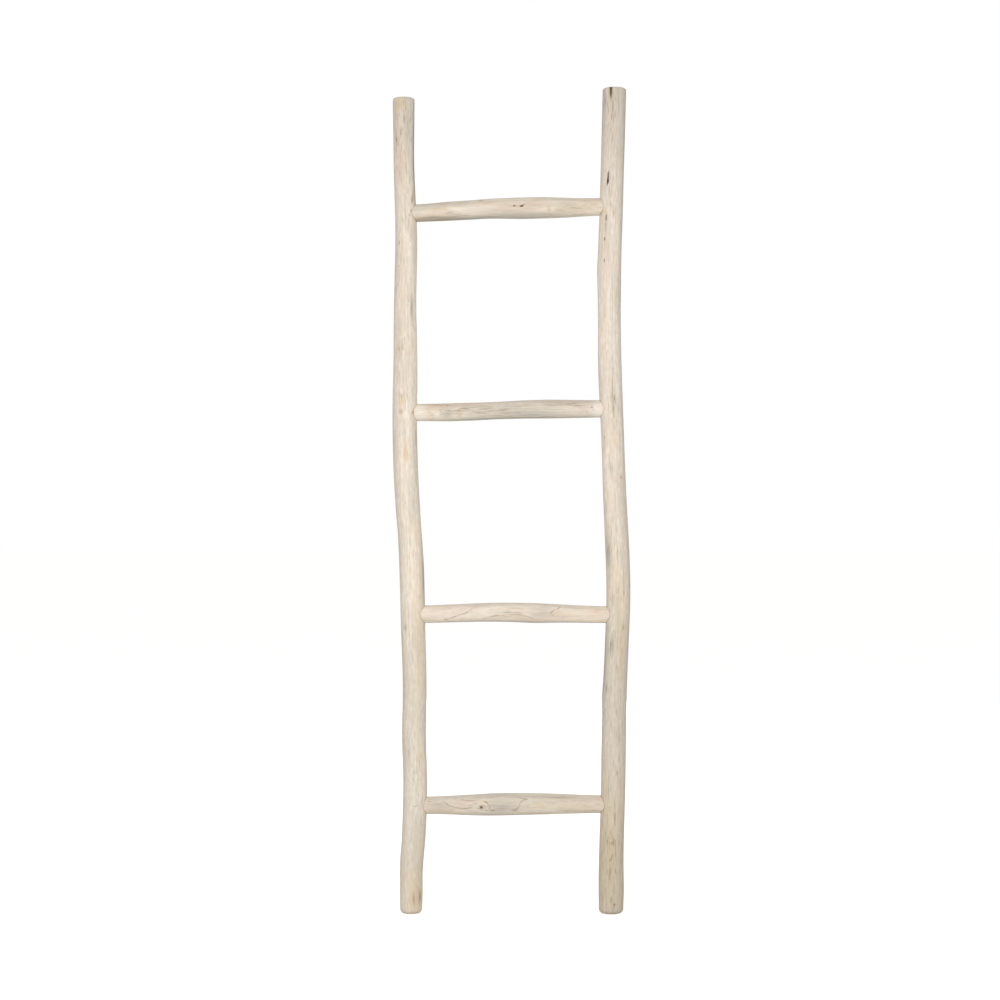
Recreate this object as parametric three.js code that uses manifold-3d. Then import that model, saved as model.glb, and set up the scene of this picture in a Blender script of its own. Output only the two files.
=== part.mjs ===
// A decorative ladder of debarked and bleached branches.
// Two crooked poles are its rails. Four rungs, thickest near the middle, are coped to the round
// sides of the rails, and their tenons sit in blind mortises. A nail from behind locks each tenon.
// Millimetres, with +Z up. The ladder is looked at along +Y, and stands on the floor at z = 0.

import * as THREE from 'three';
import { mergeVertices, toCreasedNormals } from 'three/addons/utils/BufferGeometryUtils.js';
import Module from 'manifold-3d';

// The frame
const LEFT_RAIL_LENGTH = 1479;
const RIGHT_RAIL_LENGTH = 1495;
const FEET_APART = 363; // between the middles of the feet
const FIRST_RUNG_HEIGHT = 196;
const LAST_RUNG_UNDER_TIP = 203; // below the tip of the shorter rail
const RUNG_ERROR = 10; // a common error of the hand and eye that set the rungs

// The branches
const LEFT_RAIL_THICKNESS = 43; // a common thickness of that branch
const RIGHT_RAIL_THICKNESS = 44;
const RUNG_THICKNESS = 35;
const RAIL_WANDER = 10; // a common distance of a branch's middle line from the straight
const RUNG_WANDER = 3;
const KNOT_HEIGHT = 2; // how far a common knot stands out of the wood
const KNOT_WIDTH = 15; // from its middle to where it has mostly sunk away
const TIP_ROUNDING = 4.5; // how far the edge of a rail's sawn tip is rubbed over
const FOOT_ROUNDING = 8; // and of its foot, worn by the floor
const OUT_OF_ROUND = 0.05; // how much deeper or shallower than wide, as a share
const OVAL_PITCH = 640; // the length over which that comes and goes

// The joints
const COPE_GAP = 0.3; // between a rung's coped end and the rail
const TENON_DIAMETER = 22;
const MORTISE_GAP = 0.3; // all round a tenon
const MORTISE_END_WALL = 14; // wood left beyond a mortise
const TENON_END_GAP = 1; // the glue pocket at the bottom of a mortise

// The nails
const NAIL_DIAMETER = 2.4;
const NAIL_HEAD_DIAMETER = 4.6;
const NAIL_HEAD_HEIGHT = 1.2;
const NAIL_POINT_LENGTH = 4;
const NAIL_GAP = 0.3; // all round a nail
const NAIL_SET = 1; // how deep a head sits under the back of the rail
const NAIL_COVER = 9; // wood left before a nail's point
const NAIL_FROM_TENON_END = 8;

// How finely the surfaces are drawn
const RAIL_SIDES = 24;
const RAIL_STEP = 30;
const RUNG_SIDES = 20;
const RUNG_STEP = 23;
const ROUNDING_STEPS = 3;
const TENON_SIDES = 24;
const NAIL_SIDES = 12;
const WELD = 1e-3; // corners closer than this are one
const CUTTER_RUN_OUT = 6; // how far a drill starts outside the wood
const CREASE = Math.PI / 6;

const BACK = new THREE.Vector3(0, 1, 0);
const UP = new THREE.Vector3(0, 0, 1);
const RIGHTWARDS = 0; // angles round a rail, seen from above
const BACKWARDS = Math.PI / 2;
const LEFTWARDS = Math.PI;
const FORWARDS = -Math.PI / 2;

// Every branch has its own frame, with Z from its foot to its tip. A rail's X is to the right and
// its Y to the rear. A rung's Z is to the right, its X up and its Y to the front.
// A station gives the middle line's distance along X and Y from the straight, in wanders, and the
// thickness as a share of the branch's own. at is a share of its length. A knot's height and width
// are shares of a common knot's, and around is in degrees from X towards Y.
const LEFT_RAIL = {
  length: LEFT_RAIL_LENGTH,
  thickness: LEFT_RAIL_THICKNESS,
  wander: RAIL_WANDER,
  stations: [
    { at: 0.00, x: 0.00, y: 0.0, thick: 0.92 },
    { at: 0.05, x: 0.05, y: 0.1, thick: 0.95 },
    { at: 0.10, x: 0.55, y: 0.2, thick: 1.01 },
    { at: 0.16, x: 0.75, y: 0.4, thick: 1.02 },
    { at: 0.22, x: 0.50, y: 0.5, thick: 1.03 },
    { at: 0.28, x: 0.65, y: 0.5, thick: 1.00 },
    { at: 0.34, x: 0.40, y: 0.3, thick: 1.03 },
    { at: 0.43, x: 0.10, y: 0.0, thick: 1.04 },
    { at: 0.48, x: -0.35, y: -0.2, thick: 1.00 },
    { at: 0.53, x: -0.85, y: -0.4, thick: 1.04 },
    { at: 0.60, x: -1.10, y: -0.5, thick: 1.04 },
    { at: 0.67, x: -1.00, y: -0.5, thick: 1.02 },
    { at: 0.75, x: -1.05, y: -0.3, thick: 0.95 },
    { at: 0.82, x: -0.85, y: -0.1, thick: 0.93 },
    { at: 0.92, x: -1.30, y: 0.2, thick: 0.87 },
    { at: 1.00, x: -1.35, y: 0.5, thick: 0.93 },
  ],
  knots: [
    { at: 0.025, around: -5, height: 0.7, width: 0.9 },
    { at: 0.054, around: -10, height: 0.6, width: 0.7 },
    { at: 0.060, around: 195, height: 0.8, width: 0.9 },
    { at: 0.255, around: 95, height: 1.1, width: 1.1 },
    { at: 0.492, around: 200, height: 0.6, width: 1.3 },
    { at: 0.705, around: 60, height: 1.0, width: 1.0 },
  ],
};

const RIGHT_RAIL = {
  length: RIGHT_RAIL_LENGTH,
  thickness: RIGHT_RAIL_THICKNESS,
  wander: RAIL_WANDER,
  stations: [
    { at: 0.00, x: 0.00, y: 0.0, thick: 1.00 },
    { at: 0.03, x: 0.00, y: -0.1, thick: 1.04 },
    { at: 0.07, x: 0.05, y: -0.2, thick: 1.01 },
    { at: 0.15, x: 0.35, y: -0.4, thick: 1.00 },
    { at: 0.21, x: 0.45, y: -0.5, thick: 1.03 },
    { at: 0.26, x: 0.60, y: -0.5, thick: 1.00 },
    { at: 0.32, x: 1.00, y: -0.3, thick: 0.98 },
    { at: 0.39, x: 1.35, y: 0.0, thick: 0.99 },
    { at: 0.44, x: 1.15, y: 0.2, thick: 0.99 },
    { at: 0.50, x: 0.75, y: 0.4, thick: 0.97 },
    { at: 0.58, x: 0.30, y: 0.5, thick: 0.95 },
    { at: 0.65, x: -0.15, y: 0.4, thick: 0.98 },
    { at: 0.73, x: -0.30, y: 0.2, thick: 0.95 },
    { at: 0.78, x: -0.30, y: 0.0, thick: 0.98 },
    { at: 0.86, x: 0.05, y: -0.2, thick: 0.96 },
    { at: 1.00, x: 0.60, y: -0.4, thick: 0.97 },
  ],
  knots: [
    { at: 0.026, around: 20, height: 0.6, width: 1.1 },
    { at: 0.259, around: 178, height: 0.6, width: 0.8 },
    { at: 0.430, around: 80, height: 1.1, width: 1.1 },
    { at: 0.783, around: 185, height: 0.6, width: 0.9 },
    { at: 0.905, around: 110, height: 0.9, width: 0.9 },
  ],
};

// The rungs, from the floor up. They are spaced evenly between the first and the last: strays is
// how far one sits above its even place, and rise is how much higher its right end is, in errors.
const RUNGS = [
  {
    name: 'bottom_rung',
    strays: 0,
    rise: 0.3,
    stations: [
      { at: 0.00, x: 0.0, y: 0.0, thick: 0.89 },
      { at: 0.10, x: 0.0, y: 0.0, thick: 0.92 },
      { at: 0.20, x: 0.0, y: 0.0, thick: 1.00 },
      { at: 0.32, x: 0.1, y: 0.3, thick: 1.11 },
      { at: 0.43, x: 0.4, y: 0.3, thick: 1.17 },
      { at: 0.56, x: 0.5, y: 0.3, thick: 1.13 },
      { at: 0.70, x: 0.4, y: 0.0, thick: 1.07 },
      { at: 0.84, x: 0.2, y: 0.0, thick: 0.97 },
      { at: 1.00, x: 0.0, y: 0.0, thick: 0.89 },
    ],
    knots: [{ at: 0.355, around: 88, height: 0.6, width: 0.8 }],
  },
  {
    name: 'lower_middle_rung',
    strays: -1.5,
    rise: 0,
    stations: [
      { at: 0.00, x: 0.0, y: 0.0, thick: 0.91 },
      { at: 0.10, x: 0.3, y: 0.0, thick: 0.93 },
      { at: 0.24, x: 0.9, y: -0.3, thick: 0.94 },
      { at: 0.38, x: 1.4, y: -0.7, thick: 0.98 },
      { at: 0.50, x: 1.3, y: -0.7, thick: 1.02 },
      { at: 0.58, x: 1.0, y: -0.3, thick: 1.04 },
      { at: 0.72, x: 0.7, y: -0.3, thick: 0.96 },
      { at: 0.86, x: 0.2, y: 0.0, thick: 0.88 },
      { at: 1.00, x: 0.0, y: 0.0, thick: 0.85 },
    ],
    knots: [{ at: 0.60, around: -130, height: 0.5, width: 0.8 }],
  },
  {
    name: 'upper_middle_rung',
    strays: -0.5,
    rise: 0.8,
    stations: [
      { at: 0.00, x: 0.0, y: 0.0, thick: 0.89 },
      { at: 0.10, x: 0.0, y: 0.0, thick: 0.90 },
      { at: 0.18, x: -0.2, y: 0.0, thick: 0.93 },
      { at: 0.32, x: -0.2, y: 0.3, thick: 0.93 },
      { at: 0.43, x: 0.1, y: 0.7, thick: 0.91 },
      { at: 0.56, x: 0.5, y: 0.3, thick: 0.95 },
      { at: 0.70, x: 0.5, y: 0.0, thick: 0.99 },
      { at: 0.85, x: 0.2, y: 0.0, thick: 0.93 },
      { at: 1.00, x: 0.0, y: 0.0, thick: 0.90 },
    ],
    knots: [{ at: 0.18, around: -160, height: 0.4, width: 0.7 }],
  },
  {
    name: 'top_rung',
    strays: -0.1,
    rise: 1.3,
    stations: [
      { at: 0.00, x: 0.0, y: 0.0, thick: 0.91 },
      { at: 0.10, x: 0.2, y: 0.0, thick: 0.93 },
      { at: 0.20, x: 0.6, y: -0.3, thick: 0.98 },
      { at: 0.32, x: 0.9, y: -0.3, thick: 1.00 },
      { at: 0.42, x: 1.3, y: -0.3, thick: 1.02 },
      { at: 0.56, x: 0.9, y: -0.3, thick: 1.12 },
      { at: 0.66, x: 0.7, y: 0.0, thick: 1.13 },
      { at: 0.78, x: 0.2, y: 0.0, thick: 1.03 },
      { at: 0.90, x: 0.1, y: 0.0, thick: 0.93 },
      { at: 1.00, x: 0.0, y: 0.0, thick: 0.89 },
    ],
    knots: [{ at: 0.70, around: 80, height: 0.4, width: 0.7 }],
  },
];

const BLEACHED_WOOD = { color: '#e2d4bf', roughness: 0.85, metalness: 0 };
const SANDED_WOOD = { color: '#dccdb8', roughness: 0.78, metalness: 0 };
const NAIL_STEEL = { color: '#918e88', roughness: 0.5, metalness: 0.9 };

const wasm = await Module();
wasm.setup();

function solidOf(geometry) {
  const bare = geometry.clone();
  bare.deleteAttribute('normal');
  bare.deleteAttribute('uv');
  const welded = mergeVertices(bare, WELD);
  return new wasm.Manifold(new wasm.Mesh({
    numProp: 3,
    vertProperties: welded.attributes.position.array,
    triVerts: new Uint32Array(welded.index.array),
  }));
}

function geometryOf(solid) {
  const { numProp, vertProperties, triVerts } = solid.getMesh();
  const corners = new Float32Array(vertProperties.length / numProp * 3);
  for (let i = 0; i * numProp < vertProperties.length; i += 1) {
    corners.set(vertProperties.subarray(i * numProp, i * numProp + 3), i * 3);
  }
  const geometry = new THREE.BufferGeometry();
  geometry.setAttribute('position', new THREE.BufferAttribute(corners, 3));
  geometry.setIndex(new THREE.BufferAttribute(triVerts, 1));
  return geometry;
}

// Carries +Z onto the line between two points, its start onto the first, and +X upwards.
function alongLine(from, to) {
  const along = to.clone().sub(from).normalize();
  const level = Math.abs(along.dot(UP)) > 0.9 ? BACK : UP;
  const across = new THREE.Vector3().crossVectors(along, level).normalize();
  const upward = new THREE.Vector3().crossVectors(across, along);
  return new THREE.Matrix4().makeBasis(upward, across, along).setPosition(from);
}

function rod(from, to, diameter, sides) {
  const length = from.distanceTo(to);
  return new THREE.CylinderGeometry(diameter / 2, diameter / 2, length, sides)
    .rotateX(Math.PI / 2)
    .translate(0, 0, length / 2)
    .applyMatrix4(alongLine(from, to));
}

// A branch along +Z from the origin: its shape at a share of its length, smooth through the
// stations, its middle line at a height, and its reach from there at an angle round it.
function makeBranch({ length, thickness, wander, stations, knots }) {
  const curve = new THREE.CubicInterpolant(
    stations.map((station) => station.at),
    stations.flatMap((station) => [station.x * wander, station.y * wander, station.thick * thickness]),
    3,
  );
  const shapeAt = (height) => {
    const [x, y, thick] = curve.evaluate(THREE.MathUtils.clamp(height / length, 0, 1));
    return { x, y, radius: thick / 2 };
  };

  const knotLift = (height, angle, radius) => knots.reduce((lift, knot) => {
    const along = height - knot.at * length;
    const turn = angle - THREE.MathUtils.degToRad(knot.around);
    const around = radius * Math.atan2(Math.sin(turn), Math.cos(turn));
    const spread = (knot.width * KNOT_WIDTH) ** 2;
    return lift + knot.height * KNOT_HEIGHT * Math.exp(-(along ** 2 + around ** 2) / spread);
  }, 0);

  const reachAt = (height, angle) => {
    const { radius } = shapeAt(height);
    const deepening = OUT_OF_ROUND * Math.sin(2 * Math.PI * height / OVAL_PITCH);
    return radius * (1 + deepening * Math.sin(angle) ** 2) + knotLift(height, angle, radius);
  };

  const middleAt = (height) => {
    const { x, y } = shapeAt(height);
    return new THREE.Vector3(x, y, height);
  };

  return { length, shapeAt, reachAt, middleAt };
}

// The rubbed edge of a sawn end, from its flat face to the side of the branch.
function rubbedEdge(rounding) {
  const edge = [];
  for (let i = 0; i <= ROUNDING_STEPS; i += 1) {
    const turn = i / ROUNDING_STEPS * Math.PI / 2;
    edge.push({
      height: rounding * (1 - Math.cos(turn)),
      inset: rounding * (1 - Math.sin(turn)),
    });
  }
  return edge;
}

// The half outline of a branch, turned round its middle line: a flat sawn end, its rubbed edge,
// the sides, and the same again at the tip.
function halfOutline(branch, step) {
  const { length, shapeAt } = branch;
  const straight = length - FOOT_ROUNDING - TIP_ROUNDING;
  const rings = Math.ceil(straight / step);
  const sides = [];
  for (let i = 1; i < rings; i += 1) {
    sides.push({ height: FOOT_ROUNDING + straight * i / rings, inset: 0 });
  }
  const tip = rubbedEdge(TIP_ROUNDING).map(({ height, inset }) => ({ height: length - height, inset }));
  const points = [...rubbedEdge(FOOT_ROUNDING), ...sides, ...tip.reverse()].map(({ height, inset }) => (
    new THREE.Vector2(shapeAt(height).radius - inset, height)
  ));
  return [new THREE.Vector2(0, 0), ...points, new THREE.Vector2(0, length)];
}

// The lathed outline, pushed out of round and over the knots, and bent along the middle line.
// grow makes the whole branch fatter, for cutting room round it.
function branchGeometry(branch, sides, step, grow = 0) {
  const { shapeAt, reachAt, middleAt } = branch;
  const geometry = new THREE.LatheGeometry(halfOutline(branch, step), sides).rotateX(Math.PI / 2);
  const corners = geometry.attributes.position;
  for (let i = 0; i < corners.count; i += 1) {
    const height = corners.getZ(i);
    const angle = Math.atan2(corners.getY(i), corners.getX(i));
    const share = Math.hypot(corners.getX(i), corners.getY(i)) / shapeAt(height).radius;
    const reach = share * (reachAt(height, angle) + grow);
    const middle = middleAt(height);
    corners.setXY(i, middle.x + reach * Math.cos(angle), middle.y + reach * Math.sin(angle));
  }
  return geometry;
}

// How far the skin of a rail lies from a point inside it that is off the middle line.
function skinBeyond(reach, offMiddle) {
  return Math.sqrt(Math.max(reach ** 2 - offMiddle ** 2, 0));
}

// One end of a rung in one rail: the places of its mortise, its tenon and its nail. outer and
// inner are the angles round the rail that face away from the rung and towards it.
function layOutJoint(rail, height, inward, outer, inner) {
  const middle = rail.branch.middleAt(height).add(rail.foot);
  const onAxis = (distance) => middle.clone().addScaledVector(inward, distance);
  const mortiseEnd = MORTISE_END_WALL - rail.branch.reachAt(height, outer);
  const tenonEnd = mortiseEnd + TENON_END_GAP;
  const nailPlace = tenonEnd + NAIL_FROM_TENON_END;
  const mouth = rail.branch.reachAt(height, inner) + CUTTER_RUN_OUT;
  const behind = skinBeyond(rail.branch.reachAt(height, BACKWARDS), nailPlace);
  const before = skinBeyond(rail.branch.reachAt(height, FORWARDS), nailPlace);
  const onNail = (distance) => onAxis(nailPlace).addScaledVector(BACK, distance);
  return {
    mortise: [onAxis(mortiseEnd), onAxis(mouth)],
    tenon: [onAxis(tenonEnd), onAxis(mouth)],
    nailPoint: onNail(NAIL_COVER - before),
    nailHead: onNail(behind - NAIL_SET),
    backSkin: onNail(behind + CUTTER_RUN_OUT),
  };
}

// The hole a nail makes, wide at the back of the rail, where its head is driven under.
function nailHole({ nailPoint, nailHead, backSkin }) {
  const pastPoint = nailPoint.clone().addScaledVector(BACK, -NAIL_GAP);
  const underHead = nailHead.clone().addScaledVector(BACK, -NAIL_HEAD_HEIGHT - NAIL_GAP);
  const shaft = solidOf(rod(pastPoint, backSkin, NAIL_DIAMETER + 2 * NAIL_GAP, NAIL_SIDES));
  const seat = solidOf(rod(underHead, backSkin, NAIL_HEAD_DIAMETER + 2 * NAIL_GAP, NAIL_SIDES));
  return shaft.add(seat);
}

// A round wire nail: its point, its shank and its flat head.
function nailGeometry(length) {
  const shank = NAIL_DIAMETER / 2;
  const head = NAIL_HEAD_DIAMETER / 2;
  const neck = length - NAIL_HEAD_HEIGHT;
  const outline = [
    [0, 0], [shank, NAIL_POINT_LENGTH], [shank, neck], [head, neck], [head, length], [0, length],
  ];
  const points = outline.map(([radius, height]) => new THREE.Vector2(radius, height));
  return new THREE.LatheGeometry(points, NAIL_SIDES).rotateX(Math.PI / 2);
}

// Makes a named mesh from geometry in the ladder's frame, carried there by its own placement.
function placedMesh(name, geometry, material, placement) {
  const local = geometry.clone().applyMatrix4(placement.clone().invert());
  const mesh = new THREE.Mesh(toCreasedNormals(local, CREASE), material);
  mesh.name = name;
  mesh.applyMatrix4(placement);
  return mesh;
}

function makeRail(shape, foot) {
  const branch = makeBranch(shape);
  const placement = new THREE.Matrix4().setPosition(foot);
  const body = branchGeometry(branch, RAIL_SIDES, RAIL_STEP).applyMatrix4(placement);
  const grown = branchGeometry(branch, RAIL_SIDES, RAIL_STEP, COPE_GAP).applyMatrix4(placement);
  return { branch, foot, placement, solid: solidOf(body), room: solidOf(grown) };
}

// Where each rung crosses the rails, from the floor up.
function rungHeights() {
  const last = Math.min(LEFT_RAIL_LENGTH, RIGHT_RAIL_LENGTH) - LAST_RUNG_UNDER_TIP;
  const pitch = (last - FIRST_RUNG_HEIGHT) / (RUNGS.length - 1);
  return RUNGS.map(({ strays, rise }, i) => {
    const height = FIRST_RUNG_HEIGHT + i * pitch + strays * RUNG_ERROR;
    const halfRise = rise * RUNG_ERROR / 2;
    return { left: height - halfRise, right: height + halfRise };
  });
}

const railWood = new THREE.MeshStandardMaterial(BLEACHED_WOOD);
const rungWood = new THREE.MeshStandardMaterial(SANDED_WOOD);
const steel = new THREE.MeshStandardMaterial(NAIL_STEEL);

const leftRail = makeRail(LEFT_RAIL, new THREE.Vector3(-FEET_APART / 2, 0, 0));
const rightRail = makeRail(RIGHT_RAIL, new THREE.Vector3(FEET_APART / 2, 0, 0));
const rungGroup = new THREE.Group();
const nailGroup = new THREE.Group();

rungHeights().forEach((heights, i) => {
  const { name, stations, knots } = RUNGS[i];
  const from = leftRail.branch.middleAt(heights.left).add(leftRail.foot);
  const to = rightRail.branch.middleAt(heights.right).add(rightRail.foot);
  const inward = to.clone().sub(from).normalize();
  const placement = alongLine(from, to);
  const branch = makeBranch({
    length: from.distanceTo(to), thickness: RUNG_THICKNESS, wander: RUNG_WANDER, stations, knots,
  });
  const body = branchGeometry(branch, RUNG_SIDES, RUNG_STEP).applyMatrix4(placement);
  let rung = solidOf(body).subtract(leftRail.room).subtract(rightRail.room);

  const ends = [
    { side: 'left', rail: leftRail, facing: inward, outer: LEFTWARDS, inner: RIGHTWARDS },
    { side: 'right', rail: rightRail, facing: inward.clone().negate(), outer: RIGHTWARDS, inner: LEFTWARDS },
  ];
  ends.forEach(({ side, rail, facing, outer, inner }) => {
    const joint = layOutJoint(rail, heights[side], facing, outer, inner);
    const hole = nailHole(joint);
    const mortise = rod(...joint.mortise, TENON_DIAMETER + 2 * MORTISE_GAP, TENON_SIDES);
    rail.solid = rail.solid.subtract(solidOf(mortise)).subtract(hole);
    rung = rung.add(solidOf(rod(...joint.tenon, TENON_DIAMETER, TENON_SIDES))).subtract(hole);

    const nailPlacement = alongLine(joint.nailPoint, joint.nailHead);
    const nail = nailGeometry(joint.nailPoint.distanceTo(joint.nailHead)).applyMatrix4(nailPlacement);
    nailGroup.add(placedMesh(`${name}_${side}_nail`, nail, steel, nailPlacement));
  });
  rungGroup.add(placedMesh(name, geometryOf(rung), rungWood, placement));
});

const railGroup = new THREE.Group();
railGroup.add(placedMesh('left_rail', geometryOf(leftRail.solid), railWood, leftRail.placement));
railGroup.add(placedMesh('right_rail', geometryOf(rightRail.solid), railWood, rightRail.placement));

// The origin is on the floor, under the middle of the ladder.
const assembly = new THREE.Group();
assembly.add(railGroup, rungGroup, nailGroup);
const middle = new THREE.Box3().setFromObject(assembly).getCenter(new THREE.Vector3());
assembly.position.set(-middle.x, -middle.y, 0);

const ladder = new THREE.Group();
ladder.add(assembly);

export default ladder;
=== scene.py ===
# A decorative ladder: two crooked poles and four rungs, all of debarked and bleached branches.
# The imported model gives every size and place. Each pole and rung is wrapped on its solid afresh, as
# one finely cut branch with its dents, fibres, knots and cracks. The nails keep their own solids.
# Metres, with +Z up. The ladder is looked at along +Y, and stands on the floor at z = 0.

import math
from typing import NamedTuple

import bmesh
import bpy
import numpy as np
from mathutils import Matrix, Vector, noise
from mathutils.bvhtree import BVHTree


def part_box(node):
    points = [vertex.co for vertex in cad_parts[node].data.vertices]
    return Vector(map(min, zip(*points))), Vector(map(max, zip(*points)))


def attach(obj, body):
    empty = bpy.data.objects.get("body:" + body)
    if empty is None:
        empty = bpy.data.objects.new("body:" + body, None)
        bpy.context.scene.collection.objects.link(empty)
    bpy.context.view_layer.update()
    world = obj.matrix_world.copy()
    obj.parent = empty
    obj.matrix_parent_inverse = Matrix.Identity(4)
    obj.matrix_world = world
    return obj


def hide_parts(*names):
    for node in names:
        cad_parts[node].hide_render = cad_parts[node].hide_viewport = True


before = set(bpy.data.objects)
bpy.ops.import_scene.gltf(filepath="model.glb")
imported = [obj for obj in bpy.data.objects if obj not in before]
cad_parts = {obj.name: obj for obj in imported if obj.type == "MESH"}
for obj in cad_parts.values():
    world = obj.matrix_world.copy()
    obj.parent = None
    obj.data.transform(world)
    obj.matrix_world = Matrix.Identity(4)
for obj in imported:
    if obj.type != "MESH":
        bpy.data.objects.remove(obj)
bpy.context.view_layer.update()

MM = 0.001
TURN = 2 * math.pi
UP = Vector((0, 0, 1))
RIGHT = Vector((1, 0, 0))

RAILS = ("left_rail", "right_rail")
RUNGS = ("bottom_rung", "lower_middle_rung", "upper_middle_rung", "top_rung")
SIDES = ("left", "right")

# How finely the branches are cut
RAIL_SIDES = 96
RAIL_RING = 2.1 * MM
RUNG_SIDES = 96
RUNG_RING = 1.6 * MM
SHOULDER_RING = 0.35 * MM  # where a rung meets the skin of a rail
HIDDEN_RING = 5 * MM  # inside a rail
END_CIRCLES = 5
EDGE_RINGS = 8
DOWEL_SIDES = 48
NAIL_SIDES = 24
PIT_SIDES = 20
PIT_RINGS = 14
CRACK_CUTS = 9
SAWN_FACE = 0.92  # a face that looks this much along the grain is cut across it
SHARP = math.radians(35)  # a steeper turn than this is an edge, not a bend

# The branches
TIP_EDGE = 4.5 * MM  # how far the edge of a rail's sawn tip is rubbed over
FOOT_EDGE = 8 * MM
RUBBED_SHOULDER = 0.9 * MM  # the same for a rung's end, where it meets a rail
COPE_GAP = 0.08 * MM  # between a rung's end and a rail
SHOULDER_FROM = 18 * MM  # from a tenon's end to where the rail's skin begins to cross the rung
SHOULDER_TO = 33 * MM  # and to where it is past
TENON_END = 2 * MM  # corners of a rung's solid this near its end belong to the flat end of its tenon

# The joints
MORTISE_GAP = 0.3 * MM
GLUE_POCKET = 1 * MM
MORTISE_LENGTH = 40 * MM  # from the end of a mortise to the open air
NAIL_GAP = 0.3 * MM
NAIL_SHANK = 1.2 * MM
NAIL_HEAD_HEIGHT = 1.2 * MM
NAIL_RUN_OUT = 12 * MM  # how far a nail hole's cutter stands out of the back

# The studio
EYE = Vector((-0.0209, -4, 0.749))
FIELD = 1.815  # how wide the view is where the ladder stands
SENSOR = 36  # the width of the camera's sensor, in millimetres
SURROUND = 0.52  # the share of the light that comes evenly from all round
LAMP_AIM = Vector((0, 0, 0.8))
FLOOR_HALF = 30
FLOOR_GLOW = 0.62  # of a floor that the camera sees

# Soft square lamps: where each stands, its size, and its share of the light
LAMPS = {
    "softbox": (Vector((-0.16, -2.4, 1.08)), 1.2, 0.52),
    "fill": (Vector((0.6, 4.2, 1.1)), 0.8, 0.3),
}

# How a solid is felt
FEELER_STEP = 2 * MM
FEELERS = 96
ARM = 60 * MM  # from the middle line to where a ray starts
FAR = 1.0  # farther than anything of a branch is from its middle line
WHOLE_SHARE = 0.8  # where the wood reaches less far than this share of the usual, something is cut away
CUT_MARGIN = (4, 3)  # rings and columns round a cut that aren't trusted either
SMOOTHING = 8 * MM  # along the branch
ROUND_WAVES = 8  # the finest waviness round a branch that isn't a facet
OUTSIDE = 1.8  # so many half widths from a hole's middle, and farther, nothing of it shows


# What many functions use

def put(name, data):
    """A new object in the scene, at the origin."""
    made = bpy.data.objects.new(name, data)
    bpy.context.scene.collection.objects.link(made)
    return made


def corners_of(mesh):
    """The corners of a mesh, as rows of three numbers."""
    corners = np.zeros(len(mesh.vertices) * 3)
    mesh.vertices.foreach_get("co", corners)
    return corners.reshape(-1, 3)


def own_frame(start, end, out):
    """A frame with its origin at start, Z towards end, and X as near to out as can be."""
    along = (end - start).normalized()
    across = (out - out.dot(along) * along).normalized()
    turned = Matrix((across, along.cross(across), along)).transposed().to_4x4()
    return Matrix.Translation(start) @ turned


def dowel(start, end, radius, sides=DOWEL_SIDES):
    """A round rod from one point to another."""
    rod = bmesh.new()
    length = (end - start).length
    out = min((UP, RIGHT), key=lambda axis: abs(axis.dot(end - start)))
    bmesh.ops.create_cone(
        rod, cap_ends=True, segments=sides, radius1=radius, radius2=radius, depth=length,
        matrix=own_frame(start, end, out) @ Matrix.Translation((0, 0, length / 2)),
    )
    return rod


# The shape of a branch

def skin_of(mesh, move=Matrix()):
    """A mesh as a tree that rays can be cast on, moved first."""
    copy = bmesh.new()
    copy.from_mesh(mesh)
    copy.transform(move)
    tree = BVHTree.FromBMesh(copy)
    copy.free()
    return tree


def smoothed(values, step):
    """Columns of values along a branch without the facets of its solid. They go on past its ends."""
    spread = round(3 * SMOOTHING / step)
    weights = np.exp(-0.5 * (np.arange(-spread, spread + 1) * step / SMOOTHING) ** 2)
    padded = np.pad(values, ((spread, spread), (0, 0)), mode="reflect", reflect_type="odd")
    return np.apply_along_axis(np.convolve, 0, padded, weights / weights.sum(), mode="valid")


def felt_middle(skin, heights):
    """The middle line of a branch: halfway between its sides, and between its front and back."""
    middle = np.zeros((len(heights), 2))
    for axis in (0, 1, 0, 1):
        found = np.full((len(heights), 2), np.nan)
        for row, height in enumerate(heights):
            for side in (0, 1):
                start = Vector((*middle[row], height))
                way = Vector((0, 0, 0))
                start[axis] = FAR * (2 * side - 1)
                way[axis] = 1 - 2 * side
                hit = skin.ray_cast(start, way)[0]
                if hit:
                    found[row, side] = hit[axis]
        width = found[:, 1] - found[:, 0]
        cut = ~(width > WHOLE_SHARE * np.nanmedian(width))
        whole = np.convolve(cut, np.ones(2 * CUT_MARGIN[0] + 1), mode="same") == 0
        middle[:, axis] = np.interp(heights, heights[whole], found[whole].mean(axis=1))
    return smoothed(middle, heights[1])


def felt_reach(skin, heights, middle, edges):
    """How far the skin is from the middle line, all round and all along, without what is cut away."""
    reach = np.full((len(heights), FEELERS), np.nan)
    for column in range(FEELERS):
        angle = TURN * column / FEELERS
        out = Vector((math.cos(angle), math.sin(angle), 0))
        for row, height in enumerate(heights):
            start = Vector((*middle[row], height)) + ARM * out
            distance = skin.ray_cast(start, -out, ARM)[3]
            if distance is not None:
                reach[row, column] = ARM - distance
    cut = ~(reach > WHOLE_SHARE * np.nanmedian(reach))
    cut |= ((heights < edges[0]) | (heights > heights[-1] - edges[1]))[:, None]
    doubtful = cut.copy()
    for rows in range(-CUT_MARGIN[0], CUT_MARGIN[0] + 1):
        for columns in range(-CUT_MARGIN[1], CUT_MARGIN[1] + 1):
            doubtful |= np.roll(cut, (rows, columns), axis=(0, 1))
    for column in range(FEELERS):
        sure = ~doubtful[:, column]
        reach[:, column] = np.interp(heights, heights[sure], reach[sure, column])
    waves = np.fft.rfft(smoothed(reach, heights[1]), axis=1)
    waves[:, ROUND_WAVES + 1:] = 0
    return np.fft.irfft(waves, FEELERS, axis=1)


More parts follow.
